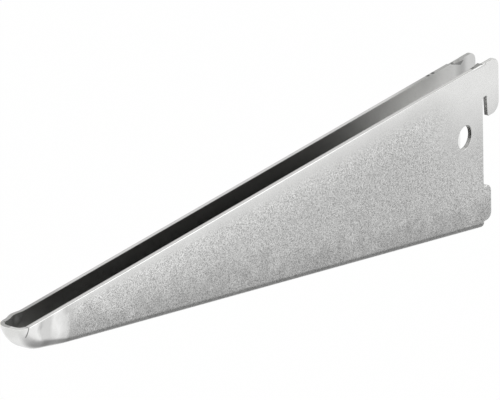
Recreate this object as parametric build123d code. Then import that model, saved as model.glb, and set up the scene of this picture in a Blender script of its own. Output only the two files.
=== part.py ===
from build123d import *
import os
from math import asin, atan, cos, degrees, sin

# Double slot shelf bracket, one steel sheet folded into a channel that is open at the top.
# X runs across the channel, Y points back into the rail and Z points up.
# The rail's front face is the plane Y = 0 and the shelf lies on the plane Z = 0.
# All sizes are in millimetres.

# Sheet and channel
sheet = 1.75
width = 12.15
reach = 289.2
back_depth = 66.4
nose_depth = 9.35
bend_radius = 2.75

# Closed nose at the front
nose_sweep = 16.3
nose_radius = 4.4
nose_blend = 12.0

# Swell of the far wall's rim beside the nose, where closing the fold pushed the sheet outwards
swell_height = 0.85
swell_radius = 4.8
swell_setback = 10.4

# Shallow dent in the near wall beside the nose
dent_depth = 0.22
dent_radius = 3.0
dent_setback = 11.2
dent_drop = 3.45

# Cross hole through both walls
hole_diameter = 9.2
hole_setback = 12.4
hole_drop = 25.15

# Hook at the top of each wall's back end
hook_reach = 11.0
hook_top = 0.3
neck_underside = 13.45
slot_width = 2.75
slot_flare = 0.7
slot_round = 1.0
finger_drop = 8.5
hook_crown_round = 3.7
finger_outer_round = 4.3
finger_inner_round = 0.7

# Plain lug near the bottom of each wall's back end
lug_reach = 4.95
lug_top = 49.5
lug_bottom = 63.5
lug_top_round = 3.0
lug_bottom_round = 2.8

# Roll-over that cutting the blank leaves on the outer side of every cut edge
edge_roll = 0.35

# Wider roll-over on the stretch of top edge where the hook's own cut was struck
struck_roll = 1.1
struck_front = 6.2
struck_back = 2.4

# Dart that the same blow pushed out of the wall's inner face, beside the hook's root
dart_front = 5.6
dart_back = 1.0
dart_height = 1.3
dart_drop = 4.0

# Seams in the nose, where the walls' front ends butt against the upturned web
seam_gap = 0.3
seam_depth = 3.6
seam_setback = 3.7

# How far cutting shapes run past the faces they open
overrun = 5.0

# The underside climbs towards the nose at one slope
slope = (back_depth - nose_depth) / reach
tilt = atan(slope)
along = Vector(0, -cos(tilt), sin(tilt))
square_up = Vector(0, sin(tilt), cos(tilt))
across = Vector(1, 0, 0)

# The nose's sweep starts square off the underside and passes through the front of the rim
front_lean = asin(1 - nose_depth * cos(tilt) / nose_sweep) - tilt
sweep_centre = Vector(0, nose_sweep * cos(front_lean) - reach, nose_sweep * sin(front_lean))
sweep_start = nose_sweep * sin(tilt) - sweep_centre.Y


def underside_plane(forward, inset):
    """Plane square to the underside at a distance in front of the rail, moved into the sheet by inset."""
    foot = Vector(0, -forward, slope * forward - back_depth) + square_up * inset
    return Plane(foot, x_dir=across, z_dir=along)


def fold_section(height, radius, inset):
    """Full width of the fold, standing on the web, with the bends as its two lower corners."""
    blank = Rectangle(width - 2 * inset, height, align=(Align.CENTER, Align.MIN))
    corners = blank.vertices().group_by(Axis.Y)[0]
    return fillet(corners, radius - inset)


def channel_section(forward, radius, inset, top):
    """Section of the channel at a distance in front of the rail, up to the height top."""
    plane = underside_plane(forward, inset)
    height = (top - plane.origin.Z) / cos(tilt)
    return plane * fold_section(height, radius, inset)


def round_hill(height, radius):
    """Round hill that is level at its top and its foot, on a short root, standing up along Y."""
    slope_line = Spline((0, height), (radius, 0), tangents=((1, 0), (1, 0)))
    root = Polyline((radius, 0), (radius, -sheet / 2), (0, -sheet / 2), (0, height))
    return revolve(make_face([slope_line, root]), Axis.Y)


def folded_form(inset, top):
    """The channel as a full block, its faces moved into the sheet by inset."""
    behind = channel_section(-overrun, bend_radius, inset, top)
    before_blend = channel_section(sweep_start - nose_blend, bend_radius, inset, top)
    before_sweep = channel_section(sweep_start, nose_radius, inset, top)
    straight = loft([behind, before_blend], ruled=True)
    blend = loft([before_blend, before_sweep], ruled=True)

    sweep_face = underside_plane(sweep_start, inset) * fold_section(nose_sweep - inset, nose_radius, inset)
    sweep = revolve(sweep_face, Axis(sweep_centre, -across), 90 - degrees(tilt))

    turned = Rot(0, 0, 90)
    swell_place = Pos(inset - width / 2, swell_setback - reach, 0)
    swell = swell_place * turned * round_hill(swell_height, swell_radius)
    dent_place = Pos(width / 2 - inset, dent_setback - reach, -dent_drop)
    dent = dent_place * turned * round_hill(dent_depth, dent_radius)
    return straight + blend + sweep + swell - dent


def wall_end_plate():
    """The flat outline of one wall's back end, with its hook, its open slot and its lug."""
    root = -lug_top / 2
    finger_tip = -neck_underside - finger_drop
    outline = [
        (root, -hook_top),
        (hook_reach, -hook_top),
        (hook_reach, finger_tip),
        (slot_width + slot_flare, finger_tip),
        (slot_width, -neck_underside),
        (0, -neck_underside),
        (0, -lug_top),
        (lug_reach, -lug_top),
        (lug_reach, -lug_bottom),
        (0, -lug_bottom),
        (root, -lug_top),
    ]
    rounds = [
        (1, hook_crown_round),
        (2, finger_outer_round),
        (3, finger_inner_round),
        (4, slot_round),
        (5, slot_round),
        (7, lug_top_round),
        (8, lug_bottom_round),
    ]
    face = make_face(Polyline(*outline, close=True))
    for index, radius in rounds:
        corner = face.vertices().sort_by_distance((*outline[index], 0))[0]
        face = fillet(corner, radius)
    side = Plane((width / 2, 0, 0), x_dir=(0, 1, 0), z_dir=across)
    return extrude(side * face, -sheet)


def cut_edges(solid):
    """Outer edges where the sheet was cut: the rim, both walls' back ends and the hole."""
    top = solid.faces().sort_by(Axis.Z)[-1]
    found = [edge for edge in top.edges() if edge.center().Y < -sheet]
    for wall in solid.faces().filter_by(Axis.X):
        if abs(wall.center().X) < (width - sheet) / 2:
            continue
        for edge in wall.edges():
            if edge in found or edge.center().Y < -reach / 2:
                continue
            middle = edge.position_at(0.5)
            normals = [face.normal_at(middle) for face in solid.faces() if edge in face.edges()]
            if abs(normals[0].dot(normals[1])) < 0.5:
                found.append(edge)
    return found


# Outside of the folded channel, level along the shelf and cut square at the rail's face
room = Box(2 * width, 2 * reach, 2 * back_depth, align=(Align.CENTER, Align.MAX, Align.MAX))
bracket = folded_form(0, overrun) & room

# Both walls' back ends
near_plate = wall_end_plate()
bracket = bracket + near_plate + mirror(near_plate, Plane.YZ)

# Cross hole
hole_place = Pos(0, -hole_setback, -hole_drop) * Rot(0, 90, 0)
bracket = bracket - hole_place * Cylinder(hole_diameter / 2, width + 2 * overrun)

# Rolled outer edges
bracket = fillet(cut_edges(bracket), edge_roll)

# Inside of the folded channel
bracket = bracket - folded_form(sheet, overrun)

# Wider roll-over beside each hook's root
struck_length = struck_front + struck_back
struck_corner = Box(struck_roll, struck_length, struck_roll, align=(Align.MAX, Align.CENTER, Align.MAX))
struck_round = Pos(-struck_roll, 0, -struck_roll) * Rot(90, 0, 0) * Cylinder(struck_roll, 2 * struck_length)
near_roll = Pos(width / 2, (struck_back - struck_front) / 2, 0) * (struck_corner - struck_round)
bracket = bracket - near_roll - mirror(near_roll, Plane.YZ)

# Darts on the walls' inner faces
inner = width / 2 - sheet
middle = width / 2 - sheet / 2
dart_tip = inner - dart_height
dart_corners = [(middle, -dart_front), (inner, -dart_front), (dart_tip, dart_back), (middle, dart_back)]
dart_top = Pos(0, 0, -hook_top) * make_face(Polyline(*dart_corners, close=True))
near_dart = loft([dart_top, Vertex(middle, dart_back, -dart_drop)])
bracket = bracket + near_dart + mirror(near_dart, Plane.YZ)

# Nose seams, square to the underside like the blank's own front ends
seam_place = Plane((width / 2, seam_setback - reach, 0), x_dir=across, z_dir=along)
near_seam = seam_place * Box(2 * sheet + 2 * seam_gap, 2 * seam_depth, seam_gap)
bracket = bracket - near_seam - mirror(near_seam, Plane.YZ)

os.makedirs("parts", exist_ok=True)
export_step(bracket, "parts/bracket.step")
print("bracket volume", round(bracket.volume), "solids", len(bracket.solids()))
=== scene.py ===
# %% [markdown]
# # A double slot shelf bracket in galvanised steel
#
# The bracket is one sheet of zinc-coated steel, folded into a channel that is open at the top and closed
# round the nose. The solid already holds every fold, hole, hook and rolled edge, so this lesson leaves its
# shape alone and spends its effort on what the eye reads next: the zinc, the cut edges and the light.

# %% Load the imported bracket
import math

import bpy
import numpy as np
from mathutils import Matrix, Vector

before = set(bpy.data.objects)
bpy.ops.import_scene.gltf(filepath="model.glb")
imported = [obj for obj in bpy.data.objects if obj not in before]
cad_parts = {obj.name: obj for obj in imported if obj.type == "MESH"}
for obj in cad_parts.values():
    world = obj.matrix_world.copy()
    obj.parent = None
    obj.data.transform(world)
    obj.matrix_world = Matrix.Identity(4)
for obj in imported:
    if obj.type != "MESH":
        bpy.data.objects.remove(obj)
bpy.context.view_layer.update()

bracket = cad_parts["bracket"]

# %% [markdown]
# ## Sizes that the finish refers to
#
# Object coordinates on the bracket are its own frame in metres: X across the channel, Y back into the rail
# and Z up, with the shelf on Z = 0. A finish that changes along the part needs only a few of the part's own
# sizes, so they are named once here, in millimetres as on a drawing, and turned to metres by one factor.

# %% Name the bracket's own sizes
MM = 0.001
SHEET = 1.75 * MM
HALF_WIDTH = 12.15 / 2 * MM
REACH = 289.2 * MM
BACK_DEPTH = 66.4 * MM
NOSE_DEPTH = 9.35 * MM
HOOK_REACH = 11.0 * MM
NOSE_RADIUS = 4.4 * MM
NOSE_SWEEP = 16.3 * MM
HOLE_RADIUS = 9.2 / 2 * MM
HOLE_SETBACK = 12.4 * MM
HOLE_DROP = 25.15 * MM
SWELL_HEIGHT = 0.85 * MM
SWELL_RADIUS = 4.8 * MM
SWELL_SETBACK = 10.4 * MM
SLOPE = (BACK_DEPTH - NOSE_DEPTH) / REACH
TILT = math.atan(SLOPE)
print("underside climbs at", round(math.degrees(TILT), 2), "degrees")

# %% [markdown]
# ## The camera
#
# The picture was taken from far away with a long lens, so the two long edges of the channel stay almost
# parallel. A camera is placed by the direction it looks from, the point it looks at, its distance and a
# slight roll. Its three axes go straight into the object's matrix, which is exact and needs no tracking
# constraint.

# %% Place the camera
PICTURE_WIDTH = 500
SENSOR_WIDTH = 36.0
FOCAL_PIXELS = 7377.6
camera_side = math.radians(35.293)
camera_rise = math.radians(22.773)
camera_roll = math.radians(-1.491)
camera_distance = 2646.25 * MM
camera_target = Vector((0, -143.63 * MM, -4.50 * MM))

level_right = Vector((math.cos(camera_side), math.sin(camera_side), 0))
level_back = Vector((math.sin(camera_side), -math.cos(camera_side), 0))
towards_camera = level_back * math.cos(camera_rise) + Vector((0, 0, math.sin(camera_rise)))
level_up = towards_camera.cross(level_right)
camera_right = level_right * math.cos(camera_roll) + level_up * math.sin(camera_roll)
camera_up = level_up * math.cos(camera_roll) - level_right * math.sin(camera_roll)

camera_data = bpy.data.cameras.new("long_lens")
camera_data.sensor_width = SENSOR_WIDTH
camera_data.lens = FOCAL_PIXELS * SENSOR_WIDTH / PICTURE_WIDTH
camera = bpy.data.objects.new("long_lens", camera_data)
camera_axes = Matrix((camera_right, camera_up, towards_camera)).transposed().to_4x4()
camera.matrix_world = Matrix.Translation(camera_target + towards_camera * camera_distance) @ camera_axes
bpy.context.scene.collection.objects.link(camera)
bpy.context.scene.camera = camera
bpy.context.scene.view_settings.view_transform = "Standard"
print("camera lens", round(camera_data.lens, 1), "mm")

# %% [markdown]
# ## Colours and nodes
#
# Colours are written as the sRGB hex values that a colour picker shows, and the shader wants linear light,
# so one function converts them. A second small function adds any node with its settings and fills its
# sockets, either with a plain value or with a link from another node. The kinds of node and the settings
# used most get short names. A mix node numbers its sockets by the kind of value, so those are named too.
# The same graph could be drawn by hand in the editor, but written out it can be read from top to bottom.

# %% Two helpers for materials
def linear_colour(hex_code):
    """Linear colour with full alpha from an sRGB hex code: (part + 0.055) / 1.055 to the power 2.4."""
    parts = np.array([int(hex_code[i:i + 2], 16) for i in (1, 3, 5)]) / 255
    curve = np.where(parts <= 0.04045, parts / 12.92, ((parts + 0.055) / 1.055) ** 2.4)
    return (*curve, 1.0)


def add_node(tree, kind, settings=None, sockets=None):
    """Adds one node, sets its own settings, and gives each named socket a plain value or a link."""
    node = tree.nodes.new(kind)
    for name, value in (settings or {}).items():
        setattr(node, name, value)
    for key, value in (sockets or {}).items():
        if isinstance(value, bpy.types.NodeSocket):
            tree.links.new(value, node.inputs[key])
        else:
            node.inputs[key].default_value = value
    return node


MATH = "ShaderNodeMath"
VECTOR = "ShaderNodeVectorMath"
RANGE = "ShaderNodeMapRange"
NOISE = "ShaderNodeTexNoise"
RAMP = "ShaderNodeValToRGB"
MIX = "ShaderNodeMix"
MULTIPLY = {"operation": "MULTIPLY"}
MULTIPLY_ADD = {"operation": "MULTIPLY_ADD"}
SUBTRACT = {"operation": "SUBTRACT"}
ADD = {"operation": "ADD"}
DIVIDE = {"operation": "DIVIDE"}
MINIMUM = {"operation": "MINIMUM"}
MAXIMUM = {"operation": "MAXIMUM"}
ABSOLUTE = {"operation": "ABSOLUTE"}
EXPONENT = {"operation": "EXPONENT"}
LESS_THAN = {"operation": "LESS_THAN"}
GREATER_THAN = {"operation": "GREATER_THAN"}
LENGTH = {"operation": "LENGTH"}
DISTANCE = {"operation": "DISTANCE"}
SMOOTH = {"interpolation_type": "SMOOTHSTEP"}
COLOURS = {"data_type": "RGBA"}
TINT = {"data_type": "RGBA", "blend_type": "MULTIPLY"}
NUMBERS = {"data_type": "FLOAT"}
FIRST_NUMBER = 2
SECOND_NUMBER = 3
FIRST_COLOUR = 6
SECOND_COLOUR = 7
MIXED_COLOUR = 2
WALL_ZINC = "#bebebd"
print("zinc grey in linear light", [round(part, 3) for part in linear_colour(WALL_ZINC)[:3]])

# %% [markdown]
# ## The floor
#
# A plain sheet of paper lies well below the bracket. Blender's own plane would do, but a level grid is the
# simplest surface to work out: two evenly spaced parameters give X and Y, and the height is the same
# everywhere.

# %% Lay the floor
FLOOR_LEVEL = -600 * MM
FLOOR_HALF = 9.0
FLOOR_CELLS = 8


def flat_sheet(half, height, cells):
    """Level square: X and Y run evenly from -half to half on a grid and Z is the height."""
    steps = np.linspace(-half, half, cells + 1)
    x, y = np.meshgrid(steps, steps, indexing="ij")
    points = np.stack([x, y, np.full_like(x, height)], axis=-1).reshape(-1, 3)
    corner = np.arange(cells * (cells + 1)).reshape(cells, cells + 1)[:, :cells].ravel()
    faces = np.stack([corner, corner + cells + 1, corner + cells + 2, corner + 1], axis=1)
    return points, faces


points, faces = flat_sheet(FLOOR_HALF, FLOOR_LEVEL, FLOOR_CELLS)
floor_mesh = bpy.data.meshes.new("floor")
floor_mesh.from_pydata(points.tolist(), [], faces.tolist())
floor = bpy.data.objects.new("floor", floor_mesh)
bpy.context.scene.collection.objects.link(floor)
print("floor at", round(FLOOR_LEVEL / MM, 1), "mm with", len(floor_mesh.polygons), "faces")

# %% [markdown]
# ## White paper and white surroundings
#
# Bare metal shows what stands around it, so the surroundings are half of the finish. In the metal the paper
# is bright farther off and falls into an oval shade under and behind the bracket, which is what turns the
# bends and the underside grey. To the camera the paper is near white and keeps a faint shadow. The world is
# an even white for every kind of ray, so the metal shows it too. A picture of a studio could be wrapped
# round the scene instead, but these two plain surfaces need no file.

# %% Make the paper and the world
FLOOR_SHADOW_SHARE = 0.03
SHADE_CENTRE = (160 * MM, 380 * MM, 0)
SHADE_ACROSS = 350 * MM
SHADE_ALONG = 700 * MM
SHADE_EDGE = (0.6, 1.6)
SHADE_TONE = (0.36, 0.92)
PAPER = linear_colour("#f2f2f0")
WHITE = linear_colour("#ffffff")

paper = bpy.data.materials.new("white_paper_floor")
paper.use_nodes = True
tree = paper.node_tree
tree.nodes.clear()
rays = add_node(tree, "ShaderNodeLightPath")
spot = add_node(tree, "ShaderNodeTexCoord")
from_centre = add_node(tree, VECTOR, SUBTRACT, {0: spot.outputs["Object"], 1: SHADE_CENTRE})
in_shades = add_node(tree, VECTOR, MULTIPLY,
                     {0: from_centre.outputs[0], 1: (1 / SHADE_ACROSS, 1 / SHADE_ALONG, 0)})
away = add_node(tree, VECTOR, LENGTH, {0: in_shades.outputs[0]})
shade = add_node(tree, RANGE, SMOOTH,
                 {"Value": away.outputs["Value"], "From Min": SHADE_EDGE[0], "From Max": SHADE_EDGE[1],
                  "To Min": SHADE_TONE[0], "To Max": SHADE_TONE[1]})
matt = add_node(tree, "ShaderNodeBsdfDiffuse", sockets={"Color": PAPER})
lit_paper = add_node(tree, "ShaderNodeEmission", sockets={"Color": WHITE, "Strength": shade.outputs[0]})
in_metal = add_node(tree, "ShaderNodeMixShader",
                    sockets={0: rays.outputs["Is Glossy Ray"], 1: matt.outputs[0], 2: lit_paper.outputs[0]})
white_paper = add_node(tree, "ShaderNodeEmission", sockets={"Color": WHITE, "Strength": 1.0})
seen_white = add_node(tree, MATH, MULTIPLY, {0: rays.outputs["Is Camera Ray"], 1: 1 - FLOOR_SHADOW_SHARE})
paper_look = add_node(tree, "ShaderNodeMixShader",
                      sockets={0: seen_white.outputs[0], 1: in_metal.outputs[0], 2: white_paper.outputs[0]})
add_node(tree, "ShaderNodeOutputMaterial", sockets={"Surface": paper_look.outputs[0]})
floor_mesh.materials.append(paper)

world = bpy.data.worlds.new("white_studio")
world.use_nodes = True
tree = world.node_tree
tree.nodes.clear()
sky = add_node(tree, "ShaderNodeBackground", sockets={"Color": WHITE, "Strength": 1.0})
add_node(tree, "ShaderNodeOutputWorld", sockets={"Surface": sky.outputs[0]})
bpy.context.scene.world = world
print("paper with", len(paper.node_tree.nodes), "nodes")

# %% [markdown]
# ## Studio light
#
# The white surroundings give nearly all the light. One soft box hangs behind the bracket and to its right,
# where only the rolled top edges mirror it, and draws a thin bright line along them. A glowing panel could
# do the same, but a lamp can be hidden from the camera with one setting.

# %% Hang the soft box
BOX_PLACE = Vector((0.47, 0.78, 0.62))
BOX_AIM = Vector((0, -0.14, -0.02))
BOX_SIZE = 450 * MM
BOX_WATTS = 1.0
box_data = bpy.data.lights.new("edge_box", "AREA")
box_data.shape = "SQUARE"
box_data.size = BOX_SIZE
box_data.energy = BOX_WATTS
edge_box = bpy.data.objects.new("edge_box", box_data)
edge_box.location = BOX_PLACE
edge_box.rotation_euler = (BOX_AIM - BOX_PLACE).to_track_quat("-Z", "Y").to_euler()
edge_box.visible_camera = False
bpy.context.scene.collection.objects.link(edge_box)
print("soft box", round(BOX_SIZE / MM), "mm wide")

# %% [markdown]
# ## Galvanised steel: reading a point's place
#
# The finish changes over the sheet, and each change has a cause that belongs to a place: the top edge, the
# hook, the bend, the nose, the inside or a cut edge. So the material first works out where a point lies,
# from the part's own coordinates: how far down, how far above the underside, how far from the hook and on
# which wall. The places could be painted by hand, but coordinates need no unwrapping and stay exact.

# %% Start the zinc with the part's own coordinates
zinc = bpy.data.materials.new("galvanised_steel")
zinc.use_nodes = True
tree = zinc.node_tree
tree.nodes.clear()
place = add_node(tree, "ShaderNodeTexCoord")
spot_here = place.outputs["Object"]
axes = add_node(tree, "ShaderNodeSeparateXYZ", sockets={0: spot_here})
along_y = axes.outputs["Y"]
facing = add_node(tree, "ShaderNodeSeparateXYZ", sockets={0: place.outputs["Normal"]})
side = add_node(tree, MATH, ABSOLUTE, {0: axes.outputs["X"]})
far_side = add_node(tree, MATH, LESS_THAN, {0: axes.outputs["X"], 1: 0.0})
drop = add_node(tree, MATH, MULTIPLY, {0: axes.outputs["Z"], 1: -1.0})
beside_rail = add_node(tree, VECTOR, MULTIPLY, {0: spot_here, 1: (0, 1, 1)})
from_hook = add_node(tree, VECTOR, LENGTH, {0: beside_rail.outputs[0]})

# Share of the way down from the top edge to the underside, and the height above the underside
depth_here = add_node(tree, MATH, MULTIPLY_ADD, {0: along_y, 1: SLOPE, 2: BACK_DEPTH})
down_share = add_node(tree, MATH, {"operation": "DIVIDE", "use_clamp": True},
                      {0: drop.outputs[0], 1: depth_here.outputs[0]})
over_underside = add_node(tree, MATH, SUBTRACT, {0: depth_here.outputs[0], 1: drop.outputs[0]})
print("coordinates read with", len(tree.nodes), "nodes")

# %% [markdown]
# ## Galvanised steel: depth in the sheet
#
# Two things depend on how deep a point lies in the sheet: which face is the inside, and the bands across a
# cut edge. Along the walls the depth is the distance from the outer face. Round the nose the outside is a
# rounded section swept about a point above the rim, so the depth follows from the distance to that sweep.
# The far wall swells beside the nose, and its depth is counted from the swollen face. The inner faces could
# be picked by hand as well, but a distance doesn't depend on how the mesh is cut into triangles.

# %% Find the depth in from the outer face
front_lean = math.asin(1 - NOSE_DEPTH * math.cos(TILT) / NOSE_SWEEP) - TILT
sweep_centre = (0, NOSE_SWEEP * math.cos(front_lean) - REACH, NOSE_SWEEP * math.sin(front_lean))
sweep_start = sweep_centre[1] - NOSE_SWEEP * math.sin(TILT)
past_side = add_node(tree, MATH, SUBTRACT, {0: side.outputs[0], 1: HALF_WIDTH - NOSE_RADIUS})
past_side = add_node(tree, MATH, MAXIMUM, {0: past_side.outputs[0], 1: 0.0})
round_nose = add_node(tree, VECTOR, DISTANCE, {0: beside_rail.outputs[0], 1: sweep_centre})
past_round = add_node(tree, MATH, SUBTRACT, {0: round_nose.outputs["Value"], 1: NOSE_SWEEP - NOSE_RADIUS})
past_round = add_node(tree, MATH, MAXIMUM, {0: past_round.outputs[0], 1: 0.0})
in_nose = add_node(tree, MATH, LESS_THAN, {0: along_y, 1: sweep_start})
past_round = add_node(tree, MATH, MULTIPLY, {0: past_round.outputs[0], 1: in_nose.outputs[0]})
past_corner = add_node(tree, "ShaderNodeCombineXYZ",
                       sockets={"X": past_side.outputs[0], "Y": past_round.outputs[0]})
past_corner = add_node(tree, VECTOR, LENGTH, {0: past_corner.outputs[0]})
from_outside = add_node(tree, MATH, SUBTRACT, {0: NOSE_RADIUS, 1: past_corner.outputs["Value"]})

from_swell = add_node(tree, VECTOR, DISTANCE,
                      {0: beside_rail.outputs[0], 1: (0, SWELL_SETBACK - REACH, 0)})
swelling = add_node(tree, RANGE, SMOOTH,
                    {"Value": from_swell.outputs["Value"], "From Max": SWELL_RADIUS,
                     "To Min": SWELL_HEIGHT, "To Max": 0.0})
from_outside = add_node(tree, MATH, MULTIPLY_ADD,
                        {0: swelling.outputs[0], 1: far_side.outputs[0], 2: from_outside.outputs[0]})
from_outside = add_node(tree, MATH, MINIMUM, {0: from_outside.outputs[0], 1: over_underside.outputs[0]})

INSIDE = (SHEET - 0.15 * MM, SHEET - 0.05 * MM)
inside = add_node(tree, RANGE, sockets={"Value": from_outside.outputs[0],
                                        "From Min": INSIDE[0], "From Max": INSIDE[1]})
print("nose swept about", [round(part / MM, 1) for part in sweep_centre], "mm")

# %% [markdown]
# ## Galvanised steel: cut faces
#
# The blank was cut with a punch and die, so its edges show bare steel. A second material on picked faces
# would end in a hard line, so the cut faces are found by where they lie and how they face: level ones along
# the shelf line, upright ones at the rail, and the wall of the hole.

# %% Find the cut faces
SHELF_CUT = 0.6 * MM
RAIL_CUT = 0.6 * MM
HOLE_CUT = HOLE_RADIUS + 0.3 * MM
LEVEL_FACING = (0.75, 0.95)
SIDE_FACING = (0.65, 0.35)
level_cut = add_node(tree, RANGE, sockets={"Value": facing.outputs["Z"],
                                           "From Min": LEVEL_FACING[0], "From Max": LEVEL_FACING[1]})
at_shelf = add_node(tree, MATH, LESS_THAN, {0: drop.outputs[0], 1: SHELF_CUT})
level_cut = add_node(tree, MATH, MULTIPLY, {0: level_cut.outputs[0], 1: at_shelf.outputs[0]})
facing_side = add_node(tree, MATH, ABSOLUTE, {0: facing.outputs["X"]})
upright_cut = add_node(tree, RANGE, sockets={"Value": facing_side.outputs[0],
                                             "From Min": SIDE_FACING[0], "From Max": SIDE_FACING[1]})
at_rail = add_node(tree, MATH, GREATER_THAN, {0: along_y, 1: -RAIL_CUT})
from_hole = add_node(tree, VECTOR, DISTANCE,
                     {0: beside_rail.outputs[0], 1: (0, -HOLE_SETBACK, -HOLE_DROP)})
at_hole = add_node(tree, MATH, LESS_THAN, {0: from_hole.outputs["Value"], 1: HOLE_CUT})
at_cut = add_node(tree, MATH, MAXIMUM, {0: at_rail.outputs[0], 1: at_hole.outputs[0]})
upright_cut = add_node(tree, MATH, MULTIPLY, {0: upright_cut.outputs[0], 1: at_cut.outputs[0]})
cut_share = add_node(tree, MATH, MAXIMUM, {0: level_cut.outputs[0], 1: upright_cut.outputs[0]})
print("places found with", len(tree.nodes), "nodes")

# %% [markdown]
# ## Galvanised steel: the grain
#
# The sheet was dipped in zinc and rolled, which leaves a bare metal with a fine, even grain instead of
# large flowers. Each grain is a small crystal that mirrors a little more or less, so the wall sparkles
# softly in grey. A picture of zinc would stretch over the bends. A cell pattern in the part's own
# coordinates keeps one size everywhere, and gives each grain one colour and one roughness. The press tools
# rubbed the grain away along the top edge, at the nose and round the hook's root.

# %% Make the grain
GRAIN = 0.28 * MM
GRAIN_CONTRAST = 0.54
WALL_ROUGH = (0.20, 0.28)
RUBBED_TOP = (0.04, 0.20)
RUBBED_NOSE = (-268 * MM, -252 * MM)
RUBBED_HOOK = (16 * MM, 50 * MM)
below_top = add_node(tree, RANGE, SMOOTH, {"Value": down_share.outputs[0],
                                           "From Min": RUBBED_TOP[0], "From Max": RUBBED_TOP[1]})
behind_nose = add_node(tree, RANGE, SMOOTH, {"Value": along_y,
                                             "From Min": RUBBED_NOSE[0], "From Max": RUBBED_NOSE[1]})
off_hook = add_node(tree, RANGE, SMOOTH, {"Value": from_hook.outputs["Value"],
                                          "From Min": RUBBED_HOOK[0], "From Max": RUBBED_HOOK[1]})
grain_share = add_node(tree, MATH, MULTIPLY, {0: below_top.outputs[0], 1: behind_nose.outputs[0]})
grain_share = add_node(tree, MATH, MULTIPLY, {0: grain_share.outputs[0], 1: off_hook.outputs[0]})

grains = add_node(tree, "ShaderNodeTexVoronoi", {"feature": "F1", "distance": "EUCLIDEAN"},
                  {"Vector": spot_here, "Scale": 1 / GRAIN})
grain_value = add_node(tree, "ShaderNodeSeparateColor", sockets={0: grains.outputs["Color"]})
grain_swing = add_node(tree, RANGE, sockets={"Value": grain_value.outputs[0],
                                             "To Min": -GRAIN_CONTRAST, "To Max": GRAIN_CONTRAST})
grain_tone = add_node(tree, MATH, MULTIPLY_ADD,
                      {0: grain_swing.outputs[0], 1: grain_share.outputs[0], 2: 1.0})
wall_rough = add_node(tree, RANGE, sockets={"Value": grain_value.outputs[1],
                                            "To Min": WALL_ROUGH[0], "To Max": WALL_ROUGH[1]})
print("grains", round(GRAIN / MM, 2), "mm across")

# %% [markdown]
# ## Galvanised steel: painted light at the top
#
# The zinc's colour is painted brightest along the top edge and darker downwards: painted light and shade
# for the way the wall's reflection darkens towards the bend. Beside the hook the painted brightness reaches
# further down and is lifted in an even patch. The rolled edge is darkened towards the hook, painted shade
# that weakens the soft box's line there. Each of these is one smooth factor on the zinc's tone, so that one
# can be changed without the others. Weak clouds keep the wall from looking printed.

# %% Set the tone of the upper wall
CLOUD = 14 * MM
CLOUD_DETAIL = 3.0
CLOUD_RANGE = (0.3, 0.7)
CLOUD_TONE = (0.97, 1.03)
clouds = add_node(tree, NOISE, sockets={"Vector": spot_here, "Scale": 1 / CLOUD, "Detail": CLOUD_DETAIL})
cloud_tone = add_node(tree, RANGE, sockets={"Value": clouds.outputs[0],
                                            "From Min": CLOUD_RANGE[0], "From Max": CLOUD_RANGE[1],
                                            "To Min": CLOUD_TONE[0], "To Max": CLOUD_TONE[1]})
wall_tone = add_node(tree, MATH, MULTIPLY, {0: grain_tone.outputs[0], 1: cloud_tone.outputs[0]})

# The painted brightness falls off by an exponential of the depth, over a longer way beside the hook
TOP_GAIN = 0.61
TOP_LIMIT = 1.66
FADE_STRETCH = (-50 * MM, -8 * MM)
FADE_LENGTH = (9 * MM, 26 * MM)
HOOK_PATCH = (12 * MM, 34 * MM)
HOOK_GAIN = 1.17
fade = add_node(tree, RANGE, sockets={"Value": along_y,
                                      "From Min": FADE_STRETCH[0], "From Max": FADE_STRETCH[1],
                                      "To Min": FADE_LENGTH[0], "To Max": FADE_LENGTH[1]})
fades = add_node(tree, MATH, DIVIDE, {0: axes.outputs["Z"], 1: fade.outputs[0]})
top_tone = add_node(tree, MATH, EXPONENT, {0: fades.outputs[0]})
top_tone = add_node(tree, MATH, MULTIPLY_ADD, {0: top_tone.outputs[0], 1: TOP_GAIN, 2: 1.0})
hook_tone = add_node(tree, RANGE, SMOOTH, {"Value": from_hook.outputs["Value"],
                                           "From Min": HOOK_PATCH[0], "From Max": HOOK_PATCH[1],
                                           "To Min": HOOK_GAIN, "To Max": 1.0})
top_tone = add_node(tree, MATH, MULTIPLY, {0: top_tone.outputs[0], 1: hook_tone.outputs[0]})
top_tone = add_node(tree, MATH, MINIMUM, {0: top_tone.outputs[0], 1: TOP_LIMIT})
wall_tone = add_node(tree, MATH, MULTIPLY, {0: wall_tone.outputs[0], 1: top_tone.outputs[0]})

# The rolled edge is the narrow strip by the shelf line that turns upwards
ROLL_DIMMING = (-130 * MM, -14 * MM)
ROLL_STRIP_DROP = 1.3 * MM
ROLL_DIMMING_LOSS = -0.38
ROLL_FACING = (0.15, 0.5)
# Painted shade: the rolled edge's colour darkens towards the hook and dims the soft box's line there
roll_dimming = add_node(tree, RANGE, SMOOTH, {"Value": along_y, "From Min": ROLL_DIMMING[0], "From Max": ROLL_DIMMING[1],
                                       "To Max": ROLL_DIMMING_LOSS})
on_roll = add_node(tree, RANGE, sockets={"Value": facing.outputs["Z"],
                                         "From Min": ROLL_FACING[0], "From Max": ROLL_FACING[1]})
near_top = add_node(tree, MATH, LESS_THAN, {0: drop.outputs[0], 1: ROLL_STRIP_DROP})
on_roll = add_node(tree, MATH, MULTIPLY, {0: on_roll.outputs[0], 1: near_top.outputs[0]})
roll_tone = add_node(tree, MATH, MULTIPLY_ADD, {0: roll_dimming.outputs[0], 1: on_roll.outputs[0], 2: 1.0})
wall_tone = add_node(tree, MATH, MULTIPLY, {0: wall_tone.outputs[0], 1: roll_tone.outputs[0]})
print("top edge", round(1 + TOP_GAIN, 2), "times the zinc's plain tone")
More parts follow.
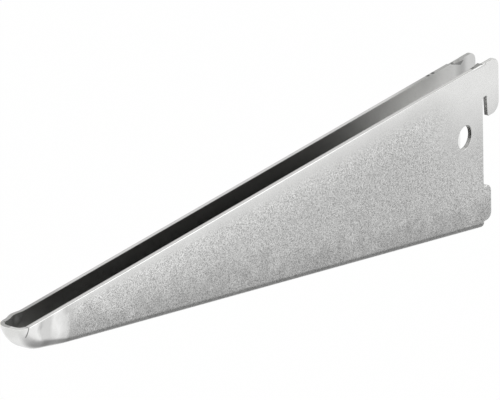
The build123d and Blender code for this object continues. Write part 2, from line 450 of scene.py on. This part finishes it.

# %% [markdown]
# ## Galvanised steel: painted shade by the bend
#
# Above the bend the zinc's colour is darkened in uneven patches: painted shade for the darker reflection low
# on the wall. The bend itself gets painted light that lifts its shading. A plain gradient would end in a
# straight line, so a slow noise shifts the upper limit of the darkened stretch up and down.

# %% Set the tone of the lower wall
LOW_SHADE_NOISE = 7 * MM
LOW_SHADE_DETAIL = 2.0
LOW_SHADE_WANDER = 11 * MM
LOW_SHADE_RISE = (2 * MM, 16 * MM)
LOW_SHADE_TONE = 0.76
BEND = (1.9 * MM, 2.9 * MM)
BEND_PAINTED_LIGHT = 1.28
low_shade_noise = add_node(tree, NOISE, sockets={"Vector": spot_here, "Scale": 1 / LOW_SHADE_NOISE,
                                         "Detail": LOW_SHADE_DETAIL})
low_shade_rise = add_node(tree, RANGE, sockets={"Value": low_shade_noise.outputs[0],
                                             "To Min": -LOW_SHADE_WANDER, "To Max": LOW_SHADE_WANDER})
low_shade_place = add_node(tree, MATH, ADD, {0: over_underside.outputs[0], 1: low_shade_rise.outputs[0]})
# Painted shade above the bend, then painted light on the bend itself
low_tone = add_node(tree, RANGE, SMOOTH,
                    {"Value": low_shade_place.outputs[0], "From Min": LOW_SHADE_RISE[0], "From Max": LOW_SHADE_RISE[1],
                     "To Min": LOW_SHADE_TONE, "To Max": 1.0})
bend_tone = add_node(tree, RANGE, sockets={"Value": over_underside.outputs[0], "From Min": BEND[0],
                                           "From Max": BEND[1], "To Min": BEND_PAINTED_LIGHT, "To Max": 1.0})
low_tone = add_node(tree, MATH, MULTIPLY, {0: low_tone.outputs[0], 1: bend_tone.outputs[0]})
wall_tone = add_node(tree, MATH, MULTIPLY, {0: wall_tone.outputs[0], 1: low_tone.outputs[0]})
wall_colour = add_node(tree, MIX, TINT, {"Factor": 1.0, FIRST_COLOUR: linear_colour(WALL_ZINC),
                                         SECOND_COLOUR: wall_tone.outputs[0]})
print("dull stretch up to about", round(LOW_SHADE_RISE[1] / MM), "mm above the underside")

# %% [markdown]
# ## Galvanised steel: the burnished nose, with painted highlights and shade
#
# The nose was pressed round a punch, so its zinc is burnished and almost without grain. A colour ramp along
# the part paints bright and grey bands across the fold: painted highlights and painted shade for the light
# that the slightly bent sheet catches. A noise shifts them a little so that their limits wander. Low on the
# side the colour is darkened, painted shade.

# %% Burnish the nose and paint its highlights and shade
RUB_SPOT = 5 * MM
RUB_WANDER = 4 * MM
RUB_BACK = -252 * MM
RUB_FADE = (-257 * MM, -265 * MM)
# Bright stops are painted highlights and grey stops painted shade, over burnished zinc
NOSE_BURNISH_AND_HIGHLIGHTS = [(0.0, "#e4e4e2"), (0.10, "#f4f4f3"), (0.24, "#f8f8f7"), (0.30, "#dcdcdb"), (0.39, "#dcdcdb"),
        (0.52, "#fafaf9"), (0.64, "#e8e8e7"), (0.73, "#c4c4c3"), (0.90, "#b8b8b7")]
NOSE_LOW = (0.55, 0.85)
NOSE_LOW_SHADE = 0.80


def fill_ramp(ramp_node, stops):
    """Gives a colour ramp its stops, each a position from 0 to 1 and a hex colour."""
    elements = ramp_node.color_ramp.elements
    while len(elements) < len(stops):
        elements.new(1.0)
    for element, (position, hex_code) in zip(elements, stops):
        element.position = position
        element.color = linear_colour(hex_code)


spots = add_node(tree, NOISE, sockets={"Vector": spot_here, "Scale": 1 / RUB_SPOT})
wander = add_node(tree, RANGE, sockets={"Value": spots.outputs[0],
                                        "To Min": -RUB_WANDER, "To Max": RUB_WANDER})
wandering_y = add_node(tree, MATH, ADD, {0: along_y, 1: wander.outputs[0]})
rub_place = add_node(tree, RANGE, sockets={"Value": wandering_y.outputs[0], "From Min": -REACH,
                                           "From Max": RUB_BACK})
nose_burnish_and_highlights = add_node(tree, RAMP, sockets={"Fac": rub_place.outputs[0]})
fill_ramp(nose_burnish_and_highlights, NOSE_BURNISH_AND_HIGHLIGHTS)
nose_share = add_node(tree, RANGE, SMOOTH, {"Value": wandering_y.outputs[0],
                                            "From Min": RUB_FADE[0], "From Max": RUB_FADE[1]})
# Painted shade darkens the lower side of the nose
nose_tone = add_node(tree, RANGE, SMOOTH,
                     {"Value": down_share.outputs[0], "From Min": NOSE_LOW[0], "From Max": NOSE_LOW[1],
                      "To Min": 1.0, "To Max": NOSE_LOW_SHADE})
nose_tone = add_node(tree, MATH, MULTIPLY, {0: nose_tone.outputs[0], 1: grain_tone.outputs[0]})
nose_colour = add_node(tree, MIX, TINT, {"Factor": 1.0, FIRST_COLOUR: nose_burnish_and_highlights.outputs[0],
                                         SECOND_COLOUR: nose_tone.outputs[0]})
colour = add_node(tree, MIX, COLOURS, {"Factor": nose_share.outputs[0],
                                       FIRST_COLOUR: wall_colour.outputs[MIXED_COLOUR],
                                       SECOND_COLOUR: nose_colour.outputs[MIXED_COLOUR]})
print("nose ramp with", len(NOSE_BURNISH_AND_HIGHLIGHTS), "stops")

# %% [markdown]
# ## Galvanised steel: the inside
#
# Inside the channel the zinc has no grain to see. It looks almost black in the middle because the light
# meets the zinc many times on its way out, and brighter towards the back, where light comes in at the open
# end. The bounces alone give most of that. A ramp along the part then paints more of that light and shade
# into the zinc's colour, which is easier to match than a lamp inside the channel, and adds a band of painted
# shade across the far hook's root.

# %% Colour the inside
# Painted light and shade along the inside; the dip near the far hook's root is painted shade
INSIDE_PAINTED_LIGHT = [(0.0, "#e2e2e1"), (0.045, "#d0d0cf"), (0.10, "#b6b6b5"), (0.19, "#c2c2c1"), (0.60, "#c2c2c1"),
           (0.70, "#cececd"), (0.763, "#e2e2e1"), (0.83, "#e4e4e3"), (0.885, "#e2e2e1"), (0.925, "#f0f0ef"),
           (0.953, "#e4e4e3"), (0.962, "#c2c2c1"), (0.971, "#b2b2b1"), (0.982, "#d8d8d7")]
from_front = add_node(tree, RANGE, sockets={"Value": along_y, "From Min": -REACH, "From Max": HOOK_REACH})
inside_painted_light = add_node(tree, RAMP, sockets={"Fac": from_front.outputs[0]})
fill_ramp(inside_painted_light, INSIDE_PAINTED_LIGHT)

# The near hook is plain, without the band of painted shade
BAND_FRONT = -12 * MM
PLAIN_ZINC = "#dededd"
near_end = add_node(tree, MATH, GREATER_THAN, {0: along_y, 1: BAND_FRONT})
near_end = add_node(tree, MATH, {"operation": "SUBTRACT", "use_clamp": True},
                    {0: near_end.outputs[0], 1: far_side.outputs[0]})
inside_colour = add_node(tree, MIX, COLOURS, {"Factor": near_end.outputs[0],
                                              FIRST_COLOUR: inside_painted_light.outputs[0],
                                              SECOND_COLOUR: linear_colour(PLAIN_ZINC)})

# Below the hooks the walls' back ends get a near-white painted highlight
BACK_HIGHLIGHT_DROP = 14 * MM
BACK_HIGHLIGHT_SPAN = (-6 * MM, -3 * MM)
BACK_HIGHLIGHT_ZINC = "#fefefd"
below_hook = add_node(tree, MATH, GREATER_THAN, {0: drop.outputs[0], 1: BACK_HIGHLIGHT_DROP})
back_highlight = add_node(tree, RANGE, sockets={"Value": along_y,
                                          "From Min": BACK_HIGHLIGHT_SPAN[0], "From Max": BACK_HIGHLIGHT_SPAN[1]})
back_highlight = add_node(tree, MATH, MULTIPLY, {0: back_highlight.outputs[0], 1: below_hook.outputs[0]})
inside_colour = add_node(tree, MIX, COLOURS, {"Factor": back_highlight.outputs[0],
                                              FIRST_COLOUR: inside_colour.outputs[MIXED_COLOUR],
                                              SECOND_COLOUR: linear_colour(BACK_HIGHLIGHT_ZINC)})
colour = add_node(tree, MIX, COLOURS, {"Factor": inside.outputs[0],
                                       FIRST_COLOUR: colour.outputs[MIXED_COLOUR],
                                       SECOND_COLOUR: inside_colour.outputs[MIXED_COLOUR]})
print("inside from", round(INSIDE[0] / MM, 2), "mm below the outer face")

# %% [markdown]
# ## Bare steel: the cut edges
#
# A sheared edge shows bands from the outer face inwards: a bright rolled-over lip, a thin dark line, a
# burnished band and a broken one that is duller. They are too shallow to model, so a ramp over the depth in
# the sheet colours them, and a fine noise makes their limits ragged.

# %% Band the cut edges
CUT_GRAIN = 0.9 * MM
CUT_DETAIL = 2.0
RAGGED = 0.11
BAND_SPAN = 2 * SHEET
BANDS = [(0.0, "#d4d4d2"), (0.08, "#d0d0ce"), (0.13, "#b4b4b2"), (0.18, "#d2d2d0"), (0.33, "#d0d0ce"),
         (0.40, "#c0c0be"), (0.50, "#b2b2b0"), (0.58, "#c8c8c6")]
broken = add_node(tree, NOISE, sockets={"Vector": spot_here, "Scale": 1 / CUT_GRAIN,
                                        "Detail": CUT_DETAIL})
ragged = add_node(tree, RANGE, sockets={"Value": broken.outputs[0], "To Min": -RAGGED, "To Max": RAGGED})
cut_depth = add_node(tree, MATH, MULTIPLY_ADD,
                     {0: from_outside.outputs[0], 1: 1 / BAND_SPAN, 2: ragged.outputs[0]})
cut_bands = add_node(tree, RAMP, sockets={"Fac": cut_depth.outputs[0]})
fill_ramp(cut_bands, BANDS)
print("cut edge ramp with", len(BANDS), "stops over", round(BAND_SPAN / MM, 2), "mm")

# %% [markdown]
# ## Bare steel: marks and painted shade on the rims
#
# The near rim is darker on a short stretch in front of the hook. The far one is dull at both ends: beside
# the nose, where it was pushed outwards, and towards the hook. Dark dots of painted shade mark small pits at
# the front ends of the darts, and two more on the far rim in front of the hook. All of these are only a
# change of tone, so each is a share that mixes one more colour into the steel's own.

# %% Mark the rims
# The near rim's level cut face is darker on a short stretch in front of the hook
DARK_STRETCH = (-6.2 * MM, 1.2 * MM)
DARK_STRETCH_STEEL = "#8c8c8a"
dark_stretch_front = add_node(tree, MATH, GREATER_THAN, {0: along_y, 1: DARK_STRETCH[0]})
dark_stretch_back = add_node(tree, MATH, LESS_THAN, {0: along_y, 1: DARK_STRETCH[1]})
dark_stretch = add_node(tree, MATH, MULTIPLY, {0: dark_stretch_front.outputs[0], 1: dark_stretch_back.outputs[0]})
near_cut = add_node(tree, MATH, {"operation": "SUBTRACT", "use_clamp": True},
                    {0: level_cut.outputs[0], 1: far_side.outputs[0]})
dark_stretch = add_node(tree, MATH, MULTIPLY, {0: dark_stretch.outputs[0], 1: near_cut.outputs[0]})
cut_colour = add_node(tree, MIX, COLOURS, {"Factor": dark_stretch.outputs[0],
                                           FIRST_COLOUR: cut_bands.outputs[0],
                                           SECOND_COLOUR: linear_colour(DARK_STRETCH_STEEL)})

DULL_FRONT = (-240 * MM, -266 * MM)
DULL_BACK = (-48 * MM, -24 * MM)
DULL_STEEL = "#a6a6a4"
dull_front = add_node(tree, RANGE, SMOOTH, {"Value": along_y,
                                            "From Min": DULL_FRONT[0], "From Max": DULL_FRONT[1]})
dull_back = add_node(tree, RANGE, SMOOTH, {"Value": along_y,
                                           "From Min": DULL_BACK[0], "From Max": DULL_BACK[1]})
dull_rim = add_node(tree, MATH, MAXIMUM, {0: dull_front.outputs[0], 1: dull_back.outputs[0]})
dull_rim = add_node(tree, MATH, MULTIPLY, {0: dull_rim.outputs[0], 1: far_side.outputs[0]})
cut_colour = add_node(tree, MIX, COLOURS, {"Factor": dull_rim.outputs[0],
                                           FIRST_COLOUR: cut_colour.outputs[MIXED_COLOUR],
                                           SECOND_COLOUR: linear_colour(DULL_STEEL)})

# Dark dots of painted shade where small pits would hold shade
PIT_PLACES_MM = [(4.2, -4.7, 0), (-4.2, -4.7, 0), (-5.4, -19.8, 0), (-5.2, -16.7, 0)]
PIT_RADIUS = 0.8 * MM
PIT_PAINTED_SHADE = "#3c3c3b"
nearest_pit = 2 * PIT_RADIUS
for pit_place in PIT_PLACES_MM:
    from_pit = add_node(tree, VECTOR, DISTANCE, {0: spot_here, 1: [MM * part for part in pit_place]})
    nearest = add_node(tree, MATH, MINIMUM, {0: from_pit.outputs["Value"], 1: nearest_pit})
    nearest_pit = nearest.outputs[0]
pit_shade = add_node(tree, MATH, LESS_THAN, {0: nearest_pit, 1: PIT_RADIUS})
cut_colour = add_node(tree, MIX, COLOURS, {"Factor": pit_shade.outputs[0],
                                           FIRST_COLOUR: cut_colour.outputs[MIXED_COLOUR],
                                           SECOND_COLOUR: linear_colour(PIT_PAINTED_SHADE)})
colour = add_node(tree, MIX, COLOURS, {"Factor": cut_share.outputs[0],
                                       FIRST_COLOUR: colour.outputs[MIXED_COLOUR],
                                       SECOND_COLOUR: cut_colour.outputs[MIXED_COLOUR]})
print("pits", len(PIT_PLACES_MM))

# %% [markdown]
# ## Put the finish on the bracket
#
# All of it is bare metal, so one metallic shader takes the joined colour. The roughness follows the same
# places: the burnished nose is smoothest, the inside plain, and the broken cut edges roughest.

# %% Join the finish and put it on
NOSE_ROUGH = 0.18
INSIDE_ROUGH = 0.28
CUT_ROUGH = 0.40
rough = add_node(tree, MIX, NUMBERS, {"Factor": nose_share.outputs[0],
                                      FIRST_NUMBER: wall_rough.outputs[0], SECOND_NUMBER: NOSE_ROUGH})
rough = add_node(tree, MIX, NUMBERS, {"Factor": inside.outputs[0],
                                      FIRST_NUMBER: rough.outputs[0], SECOND_NUMBER: INSIDE_ROUGH})
rough = add_node(tree, MIX, NUMBERS, {"Factor": cut_share.outputs[0],
                                      FIRST_NUMBER: rough.outputs[0], SECOND_NUMBER: CUT_ROUGH})
steel = add_node(tree, "ShaderNodeBsdfPrincipled",
                 sockets={"Base Color": colour.outputs[MIXED_COLOUR], "Roughness": rough.outputs[0],
                          "Metallic": 1.0})
add_node(tree, "ShaderNodeOutputMaterial", sockets={"Surface": steel.outputs[0]})
bracket.data.materials.clear()
bracket.data.materials.append(zinc)
print("material on the bracket", bracket.data.materials[0].name, "with", len(tree.nodes), "nodes")
